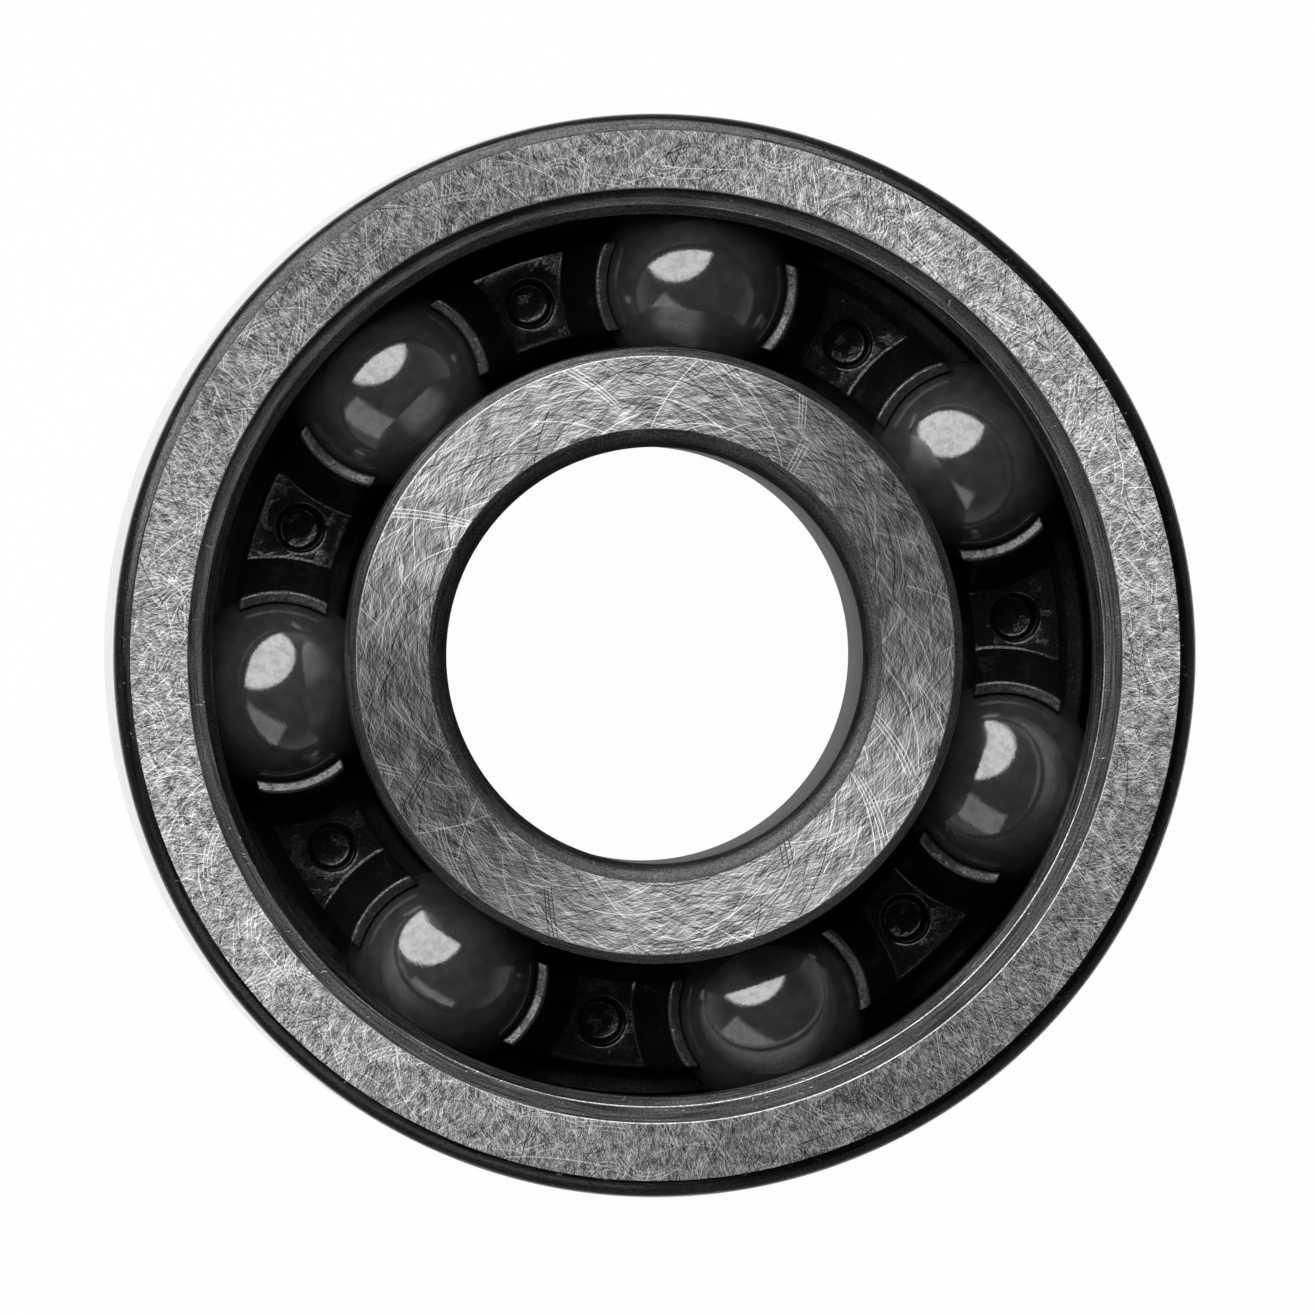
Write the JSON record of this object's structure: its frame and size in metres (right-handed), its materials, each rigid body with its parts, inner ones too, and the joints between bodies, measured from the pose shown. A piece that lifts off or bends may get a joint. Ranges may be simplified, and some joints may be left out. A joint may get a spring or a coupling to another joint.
{
  "type": "ball bearing",
  "caption": "Deep groove ball bearing, open at the front and sealed at the rear, with dark ceramic balls in a black snap cage.",
  "frame": {"origin": "centre of the bearing, on its axis in the plane of the ball centres", "axes": "+Z along the bearing's axis, out of its open side; the sealed side is -Z"},
  "size_m": [0.026, 0.026, 0.008],
  "materials": {
    "ring_steel": "ground side faces with fine random scratches, polished raceways",
    "ball_ceramic": "polished dark grey",
    "cage_plastic": "moulded, satin, slightly grainy",
    "seal_rubber": "matte black",
    "seal_plate_steel": "plain sheet, inside the rubber"
  },
  "bodies": {
    "outer": {"outer_ring": "ring_steel", "rear_seal": "seal_rubber", "rear_seal_plate": "seal_plate_steel"},
    "inner": {"inner_ring": "ring_steel"},
    "cage": {"cage": "cage_plastic"},
    "ball_1": {"ball_1": "ball_ceramic"},
    "ball_2": {"ball_2": "ball_ceramic"},
    "ball_3": {"ball_3": "ball_ceramic"},
    "ball_4": {"ball_4": "ball_ceramic"},
    "ball_5": {"ball_5": "ball_ceramic"},
    "ball_6": {"ball_6": "ball_ceramic"},
    "ball_7": {"ball_7": "ball_ceramic"}
  },
  "joints": [
    {"name": "inner_ring_spin", "type": "hinge", "parent": "outer", "child": "inner", "pos_m": [0, 0, 0], "axis": [0, 0, 1], "continuous": true},
    {"name": "cage_spin", "type": "hinge", "parent": "outer", "child": "cage", "pos_m": [0, 0, 0], "axis": [0, 0, 1], "continuous": true},
    {"name": "ball_1_spin", "type": "hinge", "parent": "cage", "child": "ball_1", "pos_m": [0.00846, -0.00308, 0], "axis": [0, 0, 1], "continuous": true},
    {"name": "ball_2_spin", "type": "hinge", "parent": "cage", "child": "ball_2", "pos_m": [0.00768, 0.00469, 0], "axis": [0, 0, 1], "continuous": true},
    {"name": "ball_3_spin", "type": "hinge", "parent": "cage", "child": "ball_3", "pos_m": [0.00112, 0.00893, 0], "axis": [0, 0, 1], "continuous": true},
    {"name": "ball_4_spin", "type": "hinge", "parent": "cage", "child": "ball_4", "pos_m": [-0.00628, 0.00644, 0], "axis": [0, 0, 1], "continuous": true},
    {"name": "ball_5_spin", "type": "hinge", "parent": "cage", "child": "ball_5", "pos_m": [-0.00896, -0.0009, 0], "axis": [0, 0, 1], "continuous": true},
    {"name": "ball_6_spin", "type": "hinge", "parent": "cage", "child": "ball_6", "pos_m": [-0.00488, -0.00756, 0], "axis": [0, 0, 1], "continuous": true},
    {"name": "ball_7_spin", "type": "hinge", "parent": "cage", "child": "ball_7", "pos_m": [0.00287, -0.00853, 0], "axis": [0, 0, 1], "continuous": true}
  ],
  "couplings": [
    {"joint": "cage_spin", "follows": "inner_ring_spin", "ratio": 0.36772},
    {"joint": "ball_1_spin", "follows": "inner_ring_spin", "ratio": -1.7577},
    {"joint": "ball_2_spin", "follows": "inner_ring_spin", "ratio": -1.7577},
    {"joint": "ball_3_spin", "follows": "inner_ring_spin", "ratio": -1.7577},
    {"joint": "ball_4_spin", "follows": "inner_ring_spin", "ratio": -1.7577},
    {"joint": "ball_5_spin", "follows": "inner_ring_spin", "ratio": -1.7577},
    {"joint": "ball_6_spin", "follows": "inner_ring_spin", "ratio": -1.7577},
    {"joint": "ball_7_spin", "follows": "inner_ring_spin", "ratio": -1.7577}
  ]
}
